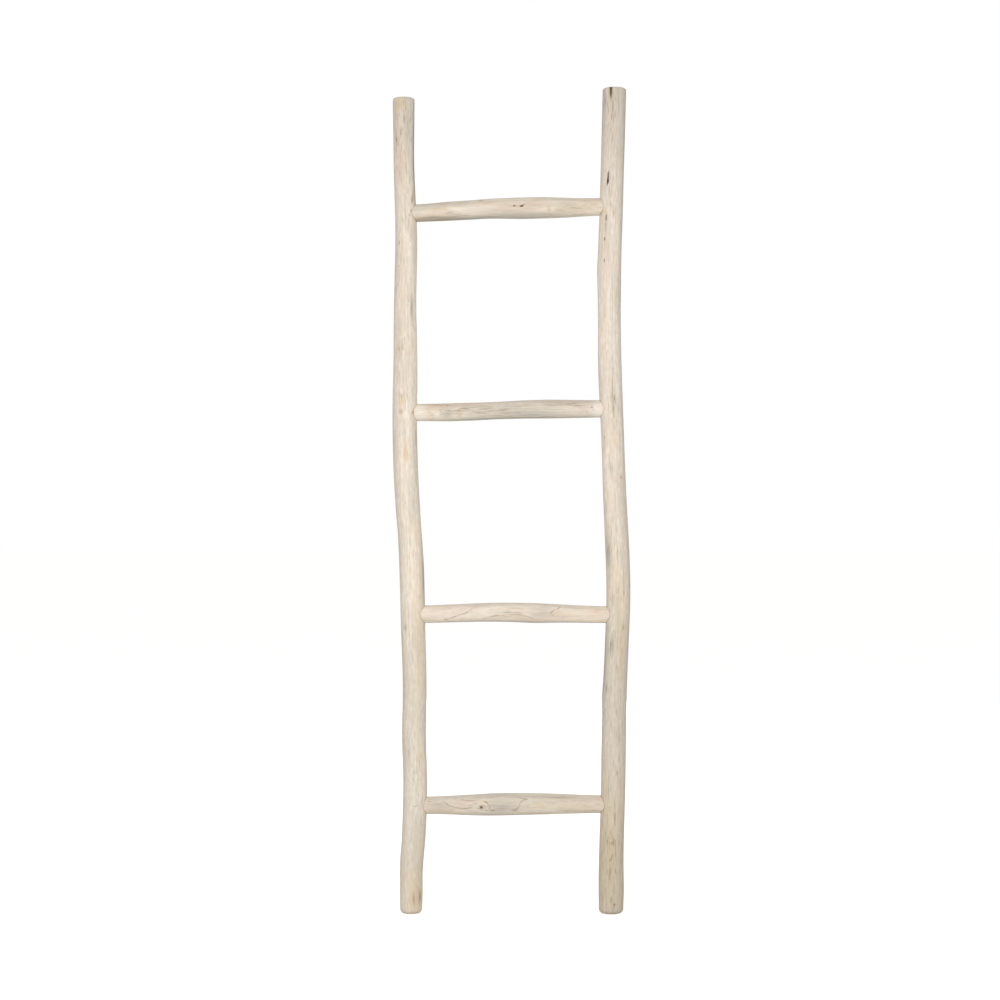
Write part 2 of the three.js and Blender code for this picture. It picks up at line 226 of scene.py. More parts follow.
class Branch:
    """One crooked branch in its own straight frame, with the skin that its solid has.

    Edges are how far its two ends are rubbed over, and grain_from where it is cut from in the wood.
    """

    def __init__(self, node, start, end, out, edges, grain_from):
        self.place = own_frame(start, end, out)
        self.length = (end - start).length
        self.grain_from = grain_from
        steps = round(self.length / FEELER_STEP)
        self.step = self.length / steps
        self.heights = np.linspace(0, self.length, steps + 1)
        skin = skin_of(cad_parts[node].data, self.place.inverted())
        self.middle = felt_middle(skin, self.heights)
        self.reach = felt_reach(skin, self.heights, self.middle, edges)

    def middle_at(self, heights):
        """The middle line at any heights."""
        return np.stack([np.interp(heights, self.heights, self.middle[:, axis]) for axis in (0, 1)], axis=1)

    def reach_at(self, heights, angles):
        """The reach of the plain branch at any heights and angles round it."""
        row = np.clip(heights / self.step, 0, len(self.reach) - 1.001)
        column = angles / TURN % 1 * FEELERS
        low, left = row.astype(int), column.astype(int) % FEELERS
        up, over = row - low, column - np.floor(column)
        right = (left + 1) % FEELERS
        below = self.reach[low, left] * (1 - over) + self.reach[low, right] * over
        above = self.reach[low + 1, left] * (1 - over) + self.reach[low + 1, right] * over
        return below * (1 - up) + above * up

    def skin_point(self, height, angle):
        """A point of the finished skin, in the branch's own frame, and the way out of the wood there."""
        heights, out = np.array([height]), Vector((math.cos(angle), math.sin(angle), 0))
        plain = self.reach_at(heights, np.array([angle]))
        lift = relief(np.array([out[:2]]) * plain, heights, self.grain_from)
        return Vector((*self.middle_at(heights)[0], height)) + float(plain[0] + lift[0]) * out, out

    def straightened(self, points):
        """Points as heights along the branch and places across it, off its middle line."""
        own = np.array(self.place.inverted())
        local = points @ own[:3, :3].T + own[:3, 3]
        return local[:, 2], local[:, :2] - self.middle_at(local[:, 2])


# The flaws of the wood, and the shade painted on it

class Mark(NamedTuple):
    """The middle of a flaw or of painted shade, in millimetres along and degrees round its branch,
    and its size in millimetres.

    It leans by so many millimetres round for each one along, and force is how much of it shows.
    """

    at: float
    around: float
    long: float
    wide: float
    force: float = 1.0
    lean: float = 0.0

    def shares(self, heights, across):
        """Places on a branch as shares of the mark's half width and half length, from its middle."""
        along = heights / MM - self.at
        turn = np.arctan2(across[:, 1], across[:, 0]) - math.radians(self.around)
        turn = np.arctan2(np.sin(turn), np.cos(turn))
        around = turn * np.hypot(across[:, 0], across[:, 1]) / MM - self.lean * along
        return around / (self.wide / 2), along / (self.long / 2)

    def fading(self, heights, across):
        """How much of the mark shows at places on a branch, fading out from its middle."""
        aside, along = self.shares(heights, across)
        return self.force * np.exp(-(aside ** 2 + along ** 2))


# Dark holes: slits, pits and the eye of a knot. Each is cut as deep as it is wide where all of it shows.
HOLES = {
    "left_rail": [Mark(909, -107, 4, 2, 0.3), Mark(1401, -131, 5, 2.2, 0.3)],
    "right_rail": [
        Mark(1330, -113, 24, 3, 0.95, 0.1), Mark(1259, -117, 11, 3, 0.5), Mark(1221, -122, 7, 2.2, 0.6),
        Mark(1182, -120, 7, 2, 0.55), Mark(18, -77, 5, 2.2, 0.4),
    ],
    "bottom_rung": [Mark(128, 95, 5.4, 4, 0.6), Mark(137, 114, 3, 2.4, 0.5), Mark(149, 115, 4, 2, 0.4)],
    "lower_middle_rung": [],
    "upper_middle_rung": [Mark(85, 44, 6, 1.8, 0.5)],
    "top_rung": [Mark(202, 84, 4.4, 3, 0.6), Mark(215, 86, 7, 3, 0.75, -0.15), Mark(219, 78, 3, 1.8, 0.4)],
}


class Crack(NamedTuple):
    """A drying crack that runs in from a sawn end: degrees round it, and its size in millimetres."""

    end: str
    around: float
    long: float
    wide: float
    deep: float


CRACKS = {
    "left_rail": [
        Crack("tip", 62, 17, 0.9, 15), Crack("tip", 170, 8, 0.6, 11), Crack("foot", 110, 14, 0.9, 14),
    ],
    "right_rail": [
        Crack("tip", -109, 17, 1.5, 4), Crack("tip", 40, 12, 0.8, 13), Crack("foot", 75, 19, 1, 15),
        Crack("foot", -170, 8, 0.7, 10),
    ],
}

# Where the colour of the wood turns, by branch and kind, as the numbers that a Mark is made from.
# One that is 500 mm wide goes all round. The long narrow smudges and stains along a rail's side edge,
# near 0° or -170° round, along a rung's underside, 130° to 160° round, and along the upper edge of the
# two lowest rungs, 40° round, are painted shade. The all-round smudges grey and darken long stretches
# of the rails, their tips and feet among them.
ALL_ROUND = 500
TINTS = {}
TINTS["left_rail"] = {
    "pinks": [
        (1360, -104, 60, 12, 0.5), (574, -52, 10, 7, 0.6), (1080, -112, 300, 20, 0.3),
        (1410, -125, 190, 24, 0.5),
    ],
    "yellows": [
        (1466, -112, 34, 24, 0.6), (927, -98, 30, 11, 0.7), (837, -88, 46, 9, 0.75),
        (1029, -49, 26, 7, 0.6), (686, -53, 50, 9, 0.4), (478, -62, 300, 18, 0.35),
        (1400, -78, 170, 9, 0.4), (1022, -118, 18, 9, 0.5), (1252, -45, 30, 8, 0.5),
        (283, -62, 80, 9, 0.5), (60, -90, 220, ALL_ROUND, 0.3), (34, -60, 50, 24, 0.4),
        (500, -90, 420, ALL_ROUND, 0.14),
    ],
    "pales": [
        (859, -103, 12, 5, 0.5), (1190, -95, 120, 14, 0.15), (1270, -68, 8, 4, 0.7),
        (866, -64, 24, 9, 0.4),
    ],
    "smudges_and_painted_shade": [
        (1430, -70, 110, 16, 0.35), (1096, -50, 46, 7, 0.9), (604, -22, 120, 14, 0.6),
        (860, -24, 50, 8, 0.6), (880, -100, 50, 20, 0.25), (1390, -12, 230, 16, 0.5),
        (293, -116, 18, 4, 0.35), (1480, -90, 420, ALL_ROUND, 0.24), (110, -90, 240, ALL_ROUND, 0.26),
        (380, -90, 300, ALL_ROUND, 0.3),
    ],
    "stains_and_painted_shade": [
        (1466, -108, 28, 26, 0.25), (1401, -131, 13, 7, 0.5), (1414, -132, 18, 3.4, 0.45),
        (1390, -12, 230, 12, 0.4), (1291, -46, 14, 8, 0.5), (1237, -64, 26, 3, 0.25),
        (1214, -128, 8, 3.4, 0.7), (1021, -118, 14, 6, 0.4), (1029, -49, 26, 5, 0.25),
        (1272, -58, 6, 3, 0.7), (1264, -66, 5, 3, 0.6), (1250, -72, 18, 4, 0.45), (1172, -128, 6, 3, 0.5),
        (1139, -130, 8, 4, 0.5), (976, -118, 18, 4, 0.35), (937, -106, 9, 3, 0.6),
        (909, -107, 13, 8, 0.35), (837, -88, 44, 6, 0.24), (574, -52, 8, 4, 0.2), (518, -127, 17, 7, 0.5),
        (433, -103, 6, 3, 0.3), (155, -110, 6, 5, 0.25), (907, -50, 9, 7, 0.5), (1023, -100, 8, 5, 0.3),
        (27, -74, 24, 3.4, 0.65, -0.1), (31, -36, 26, 5, 0.75), (36, -52, 44, 20, 0.2),
        (1340, -14, 130, 8, 0.4), (1302, -38, 20, 6, 0.5), (610, -16, 90, 6, 0.4),
    ],
    "hairs": [
        (1420, -85, 190, 60, 0.5), (929, -100, 44, 14, 0.5), (1096, -50, 50, 12, 0.7),
        (1030, -100, 60, 22, 0.4), (200, -80, 120, 40, 0.1),
    ],
}
TINTS["right_rail"] = {
    "pinks": [
        (1056, -122, 230, 20, 0.35), (1200, -112, 160, 18, 0.3), (860, -100, 200, 16, 0.2),
        (1445, -98, 60, 10, 0.5), (1400, -80, 130, 30, 0.35), (570, -122, 44, 9, 0.6),
    ],
    "yellows": [
        (1488, -72, 12, 15, 0.5), (1273, -128, 14, 9, 0.6), (460, -72, 260, 20, 0.3),
        (110, -95, 70, 8, 0.4), (90, -90, 360, ALL_ROUND, 0.6), (560, -90, 400, ALL_ROUND, 0.2),
        (1208, -128, 30, 6, 0.5), (573, -94, 40, 9, 0.3), (475, -68, 60, 9, 0.4), (862, -84, 46, 10, 0.4),
        (962, -92, 40, 5, 0.4), (1268, -142, 16, 8, 0.5),
    ],
    "pales": [(1253, -80, 12, 5, 0.8), (274, -80, 12, 9, 0.5), (112, -97, 22, 4, 0.4)],
    "smudges_and_painted_shade": [
        (930, -82, 90, 8, 0.35), (809, -105, 26, 8, 0.35), (655, -142, 60, 14, 0.6),
        (491, -118, 30, 8, 0.45), (477, -171, 260, 16, 0.4), (1470, -144, 20, 7, 0.35),
        (1330, -4, 330, 16, 0.35), (1497, -90, 400, ALL_ROUND, 0.43), (0, -90, 800, ALL_ROUND, 0.44),
        (440, -90, 300, ALL_ROUND, 0.28), (860, -90, 700, ALL_ROUND, 0.12),
    ],
    "stains_and_painted_shade": [
        (1487, -109, 34, 8, 0.9), (1460, -97, 36, 3.4, 0.4), (1443, -139, 60, 3, 0.4),
        (1456, -68, 30, 3, 0.4), (1330, -113, 34, 6, 0.2, 0.1), (1247, -118, 42, 4.4, 0.6),
        (1217, -122, 16, 3, 0.3), (1178, -120, 14, 3, 0.25), (596, -66, 80, 3, 0.35),
        (582, -63, 9, 4, 0.3), (518, -64, 14, 4, 0.5), (863, -138, 10, 4, 0.6), (790, -58, 7, 4, 0.6),
        (257, -74, 10, 5, 0.5), (178, -82, 22, 5, 0.5), (409, -138, 20, 3.4, 0.9), (129, -94, 9, 9, 0.25),
        (18, -77, 12, 5, 0.35), (287, -168, 130, 12, 0.3), (60, -90, 330, ALL_ROUND, 0.16),
        (1266, -150, 10, 5, 0.5), (648, -150, 26, 5, 0.4), (1474, -78, 34, 9, 0.3),
    ],
    "hairs": [
        (930, -84, 74, 13, 0.7), (648, -145, 56, 16, 0.9), (491, -118, 44, 13, 0.8),
        (1443, -120, 90, 34, 0.8), (1290, -95, 160, 26, 0.4), (90, -95, 400, 60, 0.45),
        (650, -125, 130, 34, 0.5), (420, -110, 240, 50, 0.25),
    ],
}
TINTS["bottom_rung"] = {
    "pinks": [(93, 72, 50, 17, 0.7), (150, 78, 34, 14, 0.35), (165, 104, 60, 12, 0.35)],
    "yellows": [(230, 86, 28, 14, 0.45), (300, 108, 130, 15, 0.35), (85, 112, 90, 9, 0.3)],
    "pales": [(166, 84, 44, 16, 0.3)],
    "smudges_and_painted_shade": [
        (49, 81, 44, 20, 0.3), (155, 98, 40, 26, 0.25), (178, 86, 44, 22, 0.25),
        (190, 90, 520, ALL_ROUND, 0.22), (190, 40, 420, 10, 0.3),
    ],
    "stains_and_painted_shade": [
        (33, 58, 12, 3, 0.6), (128, 95, 14, 12, 0.45), (108, 57, 50, 4, 0.3), (188, 115, 14, 7, 0.5),
        (213, 97, 3, 5, 0.4), (265, 46, 70, 4, 0.35), (147, 113, 10, 4, 0.5),
    ],
    "hairs": [(128, 95, 60, 30, 0.4), (300, 80, 120, 26, 0.2)],
}
TINTS["lower_middle_rung"] = {
    "pinks": [
        (66, 82, 90, 34, 0.4), (121, 53, 14, 7, 0.6), (112, 78, 40, 12, 0.35), (341, 71, 22, 14, 0.6),
        (250, 118, 110, 10, 0.5),
    ],
    "yellows": [(325, 96, 100, 26, 0.3), (189, 62, 50, 5, 0.4), (180, 110, 70, 12, 0.25)],
    "pales": [(300, 78, 60, 12, 0.3)],
    "smudges_and_painted_shade": [
        (180, 89, 54, 6, 0.35), (243, 78, 44, 18, 0.35), (190, 40, 260, 8, 0.2), (190, 156, 360, 12, 0.4),
        (190, 90, 500, ALL_ROUND, 0.08),
    ],
    "stains_and_painted_shade": [(68, 126, 9, 5, 0.6), (123, 53, 9, 5, 0.2), (189, 62, 46, 3.4, 0.3)],
    "hairs": [(185, 100, 70, 26, 0.4)],
}
TINTS["upper_middle_rung"] = {
    "pinks": [
        (190, 112, 100, 14, 0.4), (364, 88, 12, 14, 0.7), (51, 92, 9, 6, 0.6), (58, 102, 9, 6, 0.5),
        (66, 76, 9, 6, 0.4),
    ],
    "yellows": [
        (120, 62, 15, 5, 0.5), (152, 72, 15, 5, 0.5), (108, 105, 12, 16, 0.55), (250, 84, 160, 30, 0.15),
        (50, 90, 44, 40, 0.25),
    ],
    "pales": [
        (34, 90, 24, 50, 0.8), (66, 104, 16, 18, 0.6), (357, 94, 24, 44, 0.9), (300, 92, 70, 8, 0.3),
        (120, 62, 15, 5, 0.7), (152, 72, 13, 4, 0.6), (220, 90, 320, ALL_ROUND, 0.18),
    ],
    "smudges_and_painted_shade": [
        (216, 118, 200, 22, 0.3), (84, 98, 22, 20, 0.4), (120, 92, 80, 12, 0.15), (303, 58, 100, 10, 0.2),
        (230, 90, 330, ALL_ROUND, 0.3), (200, 156, 340, 12, 0.4),
    ],
    "stains_and_painted_shade": [
        (66, 36, 44, 6, 0.4), (122, 72, 20, 2.4, 0.4), (154, 80, 20, 2.4, 0.35), (108, 111, 9, 8, 0.15),
        (269, 46, 64, 6, 0.4), (130, 50, 90, 4, 0.25), (346, 82, 5, 4, 0.9), (349, 96, 4, 3, 0.5),
    ],
    "hairs": [(110, 80, 70, 24, 0.7), (180, 95, 90, 20, 0.5), (310, 66, 80, 12, 0.5)],
}
TINTS["top_rung"] = {
    "pinks": [(200, 98, 130, 26, 0.6), (66, 108, 70, 10, 0.5), (240, 68, 60, 14, 0.4)],
    "yellows": [(68, 79, 42, 8, 0.6), (162, 62, 50, 6, 0.4), (322, 100, 110, 30, 0.35)],
    "pales": [(156, 84, 50, 5, 0.6), (217, 66, 16, 6, 0.5), (271, 110, 5, 18, 0.35, 0.2)],
    "smudges_and_painted_shade": [
        (200, 104, 120, 20, 0.2), (240, 132, 120, 9, 0.3), (43, 131, 80, 8, 0.35),
        (190, 90, 420, ALL_ROUND, 0.1), (70, 156, 260, 16, 0.8), (280, 156, 240, 12, 0.4),
    ],
    "stains_and_painted_shade": [
        (142, 40, 15, 6, 0.6), (162, 58, 40, 4, 0.2), (264, 104, 8, 12, 0.35), (43, 131, 80, 7, 0.35),
        (98, 130, 30, 7, 0.3), (209, 88, 24, 7, 0.15), (60, 160, 200, 12, 0.4),
    ],
    "hairs": [(320, 100, 110, 26, 0.3), (98, 122, 50, 16, 0.5)],
}
TINT_KINDS = ("pinks", "yellows", "pales", "smudges_and_painted_shade", "stains_and_painted_shade", "hairs")
HAIR_BASE = 0.32  # how much the fine dark hairs show where nothing brings them out

# The edges of growth rings: how much of each shows, and its points, in millimetres along and degrees
# round the branch. The dark wood is on their left.
RING_LINES = {
    "left_rail": [
        (0.6, [(915, -110), (913, -101), (908, -97), (904, -103), (905, -112), (910, -118), (915, -110)]),
        (0.7, [(250, -100), (245, -94), (239, -98)]),
        (0.6, [(249, -78), (244, -70), (238, -75)]),
        (0.5, [(199, -100), (195, -88), (199, -76), (194, -66)]),
    ],
    "right_rail": [
        (0.6, [(993, -73), (957, -83), (930, -82), (908, -84), (893, -80)]),
        (0.7, [(140, -126), (133, -111), (130, -96), (133, -80), (140, -65)]),
        (0.5, [(147, -120), (140, -106), (137, -95), (140, -84), (147, -70)]),
        (0.6, [(125, -97), (112, -106), (97, -98), (110, -88), (125, -97)]),
    ],
    "bottom_rung": [
        (0.7, [(56, 50), (63, 67), (69, 83), (79, 95), (92, 102), (103, 100), (115, 92)]),
        (0.5, [(84, 46), (98, 51), (110, 61), (123, 54)]),
        (0.7, [(186, 42), (199, 48), (210, 59), (203, 67), (198, 81), (197, 96), (192, 109), (185, 119)]),
        (0.4, [(238, 44), (264, 47), (295, 49)]),
        (0.8, [(128, 58), (138, 70), (143, 84), (144, 98), (140, 118)]),
        (0.4, [(121, 96), (125, 83), (133, 85), (136, 97), (129, 110), (121, 96)]),
        (0.3, [(208, 84), (213, 97), (207, 110)]),
    ],
    "lower_middle_rung": [
        (0.7, [(68, 127), (84, 105), (106, 82), (114, 66), (112, 51)]),
        (0.3, [(70, 100), (85, 84), (100, 70)]),
        (0.6, [(130, 133), (145, 115), (162, 106), (188, 98), (203, 99), (216, 108), (232, 128)]),
        (0.35, [(158, 130), (180, 114), (200, 113), (218, 130)]),
        (0.7, [(279, 36), (267, 67), (259, 80), (258, 90), (266, 112)]),
    ],
    "upper_middle_rung": [
        (0.35, [(44, 45), (49, 62), (52, 88), (57, 112), (60, 135)]),
        (0.3, [(58, 80), (64, 72), (69, 82), (65, 94), (58, 92), (58, 80)]),
        (0.45, [(68, 56), (73, 80), (74, 100), (71, 124), (66, 138)]),
        (0.6, [(75, 79), (85, 77), (95, 82), (104, 75), (113, 68), (124, 70)]),
        (0.5, [(130, 66), (140, 61), (153, 60), (166, 66), (160, 76), (148, 81), (136, 77)]),
        (0.5, [(128, 90), (150, 95), (172, 89), (200, 80)]),
        (0.4, [(80, 96), (90, 103), (99, 94), (106, 88), (112, 98), (108, 114), (98, 122)]),
        (0.35, [(180, 60), (204, 66), (226, 62), (250, 70)]),
        (0.55, [(255, 60), (279, 68), (303, 63), (319, 74), (333, 96), (342, 132)]),
        (0.3, [(295, 48), (318, 56), (337, 80)]),
    ],
    "top_rung": [
        (0.3, [(275, 122), (291, 92), (308, 68)]),
        (0.35, [(294, 130), (315, 103), (334, 78)]),
        (0.3, [(315, 133), (332, 108), (346, 78)]),
        (0.45, [(86, 116), (96, 110), (104, 120), (101, 138)]),
        (0.3, [(40, 118), (66, 112), (92, 124)]),
    ],
}
RING_FADE = 7  # millimetres over which a ring line fades out at its ends
RING_REACH = 3.6  # millimetres, from where on nothing of a ring line shows

# The relief of the wood
DENTS = (46 * MM, 75 * MM, 0.3 * MM)  # their size across and along, and how far they go in and out
SCRAPES = (9 * MM, 130 * MM, 0.28 * MM)  # long flats left by the tool that took the bark off
FIBRES = (3.4 * MM, 80 * MM, 0.16 * MM)
RELIEFS = (DENTS, SCRAPES, FIBRES)
RAGGEDNESS = 0.35  # how uneven a pit is, as a share of its size
RAG_PITCH = 1.6  # and how closely
CRACK_PROUD = 3 * MM  # how far a crack's blade stands out of the wood
CRACK_WANDER = 1.4 * MM  # how far a crack strays to the side, and how often
CRACK_WAVES = 6
CRACK_CLOSED = 0.02  # how wide a crack is where it closes, and at its bottom, as shares of its mouth
CRACK_BOTTOM = 0.2
CRACK_SHADE = 0.8  # how much dark shows round a crack, and how wide, in widths of the crack
CRACK_SHADE_WIDTH = 2.4
RAIL_GRAIN = 3.1  # how far apart in the grain the rails start, and where the rungs do
RUNG_GRAIN_FROM = 9.7
RUNG_GRAIN = 2.3
RING_RELIEF = 6  # how unevenly deep the growth rings lie under the skin, in millimetres
JOINT_DIRT_AND_SHADE = 0.35  # painted shade and dirt where two branches meet: how dark, and how far out from there
JOINT_DIRT_AND_SHADE_REACH = 1.6 * MM
JOINT_DIRT_AND_SHADE_MARGIN = 3 * MM  # past which there is none to speak of


def relief(across, heights, grain_from):
    """How far the skin stands out of the plain branch at places across and heights along it."""
    lift = np.zeros(len(heights))
    for number, (wide, long, height) in enumerate(RELIEFS):
        start = grain_from + number * FAR
        places = np.column_stack([across / wide, (heights + start) / long])
        lift += [height * noise.noise(place) for place in places]
    return lift


def blank(length, sides, rings):
    """A straight rod of radius 1 along Z, its side cut into rings and its ends into circles."""
    rod = dowel(Vector(), length * UP, 1, sides)
    ends = [face for face in rod.faces if len(face.verts) == sides]
    lines = [edge for edge in rod.edges if abs(edge.verts[0].co.z - edge.verts[1].co.z) > length / 2]
    bmesh.ops.subdivide_edges(rod, edges=lines, cuts=rings - 1)
    for end in ends:
        for _ in range(END_CIRCLES - 1):
            bmesh.ops.inset_region(rod, faces=[end], thickness=1 / END_CIRCLES)
        bmesh.ops.poke(rod, faces=[end])
    return rod


def wrap(name, branch, sides, ring_heights, insets, grow=0.0):
    """A blank with its rings at the given heights, bent and swelled to a branch's own skin."""
    rings = len(ring_heights) - 1
    rod = blank(branch.length, sides, rings)
    mesh = bpy.data.meshes.new(name)
    rod.to_mesh(mesh)
    rod.free()
    corners = corners_of(mesh)
    ring = corners[:, 2] / branch.length * rings
    heights = np.interp(ring, np.arange(rings + 1), ring_heights)
    inset = np.interp(ring, np.arange(rings + 1), insets)
    share = np.hypot(corners[:, 0], corners[:, 1])
    angles = np.arctan2(corners[:, 1], corners[:, 0])
    ways = np.column_stack([np.cos(angles), np.sin(angles)])
    plain = branch.reach_at(heights, angles)
    reach = plain + relief(ways * plain[:, None], heights, branch.grain_from) - inset + grow
    flat = branch.middle_at(heights) + ways * (share * reach)[:, None]
    corners = np.column_stack([flat, heights])
    move = np.array(branch.place)
    mesh.vertices.foreach_set("co", (corners @ move[:3, :3].T + move[:3, 3]).ravel())
    mesh.update()
    return put(name, mesh)


def even(start, end, step):
    """Heights from start up to end, about a step apart, without the end itself."""
    return np.linspace(start, end, max(1, round((end - start) / step)), endpoint=False)


def rail_rings(length):
    """The heights of a rail's rings, and how far each is inset, with round edges at both ends."""
    turn = np.linspace(0, math.pi / 2, EDGE_RINGS + 1)
    rise, inset = 1 - np.cos(turn), 1 - np.sin(turn)
    sides = even(FOOT_EDGE, length - TIP_EDGE, RAIL_RING)[1:]
    heights = np.concatenate([FOOT_EDGE * rise, sides, length - TIP_EDGE * rise[::-1]])
    return heights, np.concatenate([FOOT_EDGE * inset, np.zeros(len(sides)), TIP_EDGE * inset[::-1]])


def rung_rings(length):
    """The heights of a rung's rings: close together only where it meets the skins of the rails."""
    half = np.concatenate([
        even(0, SHOULDER_FROM, HIDDEN_RING),
        even(SHOULDER_FROM, SHOULDER_TO, SHOULDER_RING),
        even(SHOULDER_TO, length / 2, RUNG_RING),
    ])
    heights = np.concatenate([half, [length / 2], length - half[::-1]])
    return heights, np.zeros(len(heights))


# The joints

def carve(piece, how, *tools):
    """Cuts a piece with the tools, or joins them to it. The tools are used up."""
    for each in tools:
        step = piece.modifiers.new("carve", "BOOLEAN")
        step.operation = how
        step.solver = "MANIFOLD"
        step.object = each
        graph = bpy.context.evaluated_depsgraph_get()
        shaped = bpy.data.meshes.new_from_object(piece.evaluated_get(graph))
        piece.modifiers.clear()
        piece.data = shaped
        piece.data.name = piece.name
        bpy.data.objects.remove(each)


def tool(name, solids):
    """An object of one or more closed solids, for carving."""
    mesh = bpy.data.meshes.new(name)
    whole = bmesh.new()
    for solid in solids:
        solid.to_mesh(mesh)
        whole.from_mesh(mesh)
        solid.free()
    bmesh.ops.recalc_face_normals(whole, faces=whole.faces)
    whole.to_mesh(mesh)
    whole.free()
    return put(name, mesh)


def pit(branch, mark):
    """A ragged hollow in the skin of a branch, as deep as it is wide where all of it shows."""
    skin, out = branch.skin_point(mark.at * MM, math.radians(mark.around))
    around = UP.cross(out) + mark.lean * UP
    turned = Matrix((around.normalized(), out.cross(around).normalized(), out)).transposed().to_4x4()
    hollow = bmesh.new()
    bmesh.ops.create_uvsphere(hollow, u_segments=PIT_SIDES, v_segments=PIT_RINGS, radius=1)
    for corner in hollow.verts:
        corner.co *= 1 + RAGGEDNESS * noise.noise(RAG_PITCH * corner.co + Vector((mark.at, 0, 0)))
    size = Matrix.Diagonal((mark.wide / 2 * MM, mark.long / 2 * MM, mark.wide * mark.force * MM, 1))
    hollow.transform(branch.place @ Matrix.Translation(skin) @ turned @ size)
    return hollow


def crack_blade(branch, crack):
    """A thin wedge that opens a crack: widest at the sawn end and at the skin, closing inwards."""
    wedge = bmesh.new()
    bmesh.ops.create_cube(wedge, size=1)
    lines = [edge for edge in wedge.edges if abs(edge.verts[0].co.z - edge.verts[1].co.z) > 0.5]
    bmesh.ops.subdivide_edges(wedge, edges=lines, cuts=CRACK_CUTS)
    end = branch.length if crack.end == "tip" else 0
    inwards = -1 if crack.end == "tip" else 1
    for corner in wedge.verts:
        open_share = max(corner.co.z + 0.5, CRACK_CLOSED)
        outer = corner.co.x > 0
        height = end + inwards * (crack.long * MM * (1 - open_share) - CRACK_PROUD * open_share)
        skin, out = branch.skin_point(height, math.radians(crack.around))
        depth = -CRACK_PROUD if outer else crack.deep * MM * open_share
        wander = CRACK_WANDER * noise.noise(Vector((crack.around, 0, CRACK_WAVES * open_share)))
        aside = math.copysign(crack.wide / 2 * MM, corner.co.y) * open_share * (1 if outer else CRACK_BOTTOM)
        corner.co = skin - depth * out + (aside + wander) * UP.cross(out)
    wedge.transform(branch.place)
    return wedge


def tenon_end(rung, side):
    """The middle and the radius of the flat end of a tenon, from the rung's solid."""
    corners = corners_of(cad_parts[rung].data)
    limit = corners[:, 0].min() if side == "left" else corners[:, 0].max()
    disc = corners[abs(corners[:, 0] - limit) < TENON_END]
    middle = (disc.min(axis=0) + disc.max(axis=0)) / 2
    return Vector(middle), np.linalg.norm(disc - middle, axis=1).max()


def nail_hole(rung, side):
    """The room that a nail takes in the wood: a wide seat for its head, and a shaft."""
    lowest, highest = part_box(f"{rung}_{side}_nail")
    x, z = (lowest.x + highest.x) / 2, (lowest.z + highest.z) / 2
    seat = (highest.x - lowest.x) / 2 + NAIL_GAP
    under_head = highest.y - NAIL_HEAD_HEIGHT - NAIL_GAP
    hole = dowel(Vector((x, under_head, z)), Vector((x, highest.y + NAIL_RUN_OUT, z)), seat, NAIL_SIDES)
    hole.faces.ensure_lookup_table()
    front = min(hole.faces, key=lambda face: face.calc_center_median().y)
    bmesh.ops.inset_region(hole, faces=[front], thickness=seat - NAIL_SHANK - NAIL_GAP)
    shaft = bmesh.ops.extrude_discrete_faces(hole, faces=[front])["faces"][0]
    bmesh.ops.translate(hole, verts=shaft.verts, vec=(0, lowest.y - NAIL_GAP - under_head, 0))
    return hole


def rub_shoulders(rung, branch, skins):
    """Rounds a rung's skin in towards its axis where it comes close to the skin of a rail."""
    start, end = branch.place.translation, branch.place @ Vector((0, 0, branch.length))
    along = (end - start).normalized()
    for corner in rung.data.vertices:
        height = (corner.co - start).dot(along)
        skin = skins[0] if height < branch.length / 2 else skins[1]
        if min(height, branch.length - height) > SHOULDER_TO:
            continue
        nearest, normal = skin.find_nearest(corner.co)[:2]
        gap = max((corner.co - nearest).dot(normal), 0)
        if gap < RUBBED_SHOULDER:
            inset = RUBBED_SHOULDER - math.sqrt(RUBBED_SHOULDER ** 2 - (RUBBED_SHOULDER - gap) ** 2)
            axis = start + height * along
            corner.co -= (corner.co - axis).normalized() * inset


branches = {}
for number, rail in enumerate(RAILS):
    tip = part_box(rail)[1].z
    branches[rail] = Branch(rail, Vector(), tip * UP, RIGHT, (FOOT_EDGE, TIP_EDGE), RAIL_GRAIN * number)
tenons = {}
for number, rung in enumerate(RUNGS):
    tenons[rung] = [tenon_end(rung, side) for side in SIDES]
    (left, _), (right, _) = tenons[rung]
    branches[rung] = Branch(rung, left, right, UP, (0, 0), RUNG_GRAIN_FROM + RUNG_GRAIN * number)

rails = {}
room = []
for name in RAILS:
    rings = rail_rings(branches[name].length)
    rails[name] = wrap(f"{name}_branch", branches[name], RAIL_SIDES, *rings)
    room.append(wrap("room", branches[name], RAIL_SIDES, *rings, grow=COPE_GAP))
skins = [skin_of(rail.data) for rail in rails.values()]

rungs = {}
for name in RUNGS:
    branch = branches[name]
    rung = wrap(f"{name}_branch", branch, RUNG_SIDES, *rung_rings(branch.length))
    rub_shoulders(rung, branch, skins)
    for grown in room:
        carve(rung, "DIFFERENCE", put("room", grown.data.copy()))
    (left, radius), (right, _) = tenons[name]
    along = (right - left).normalized()
    reach = SHOULDER_TO * along
    both = [dowel(left, left + reach, radius), dowel(right - reach, right, radius)]
    carve(rung, "UNION", tool("tenons", both))
    carve(rung, "DIFFERENCE", tool("nail_holes", [nail_hole(name, side) for side in SIDES]))
    rungs[name] = rung
for grown in room:
    bpy.data.objects.remove(grown)

for side, rail in enumerate(rails.values()):
    mortises = []
    for name in RUNGS:
        (middle, radius), (other, _) = tenons[name][side], tenons[name][1 - side]
        inward = (other - middle).normalized()
        bottom = middle - GLUE_POCKET * inward
        mortises.append(dowel(bottom, bottom + MORTISE_LENGTH * inward, radius + MORTISE_GAP))
    carve(rail, "DIFFERENCE", tool("mortises", mortises))
    carve(rail, "DIFFERENCE", tool("nail_holes", [nail_hole(name, SIDES[side]) for name in RUNGS]))

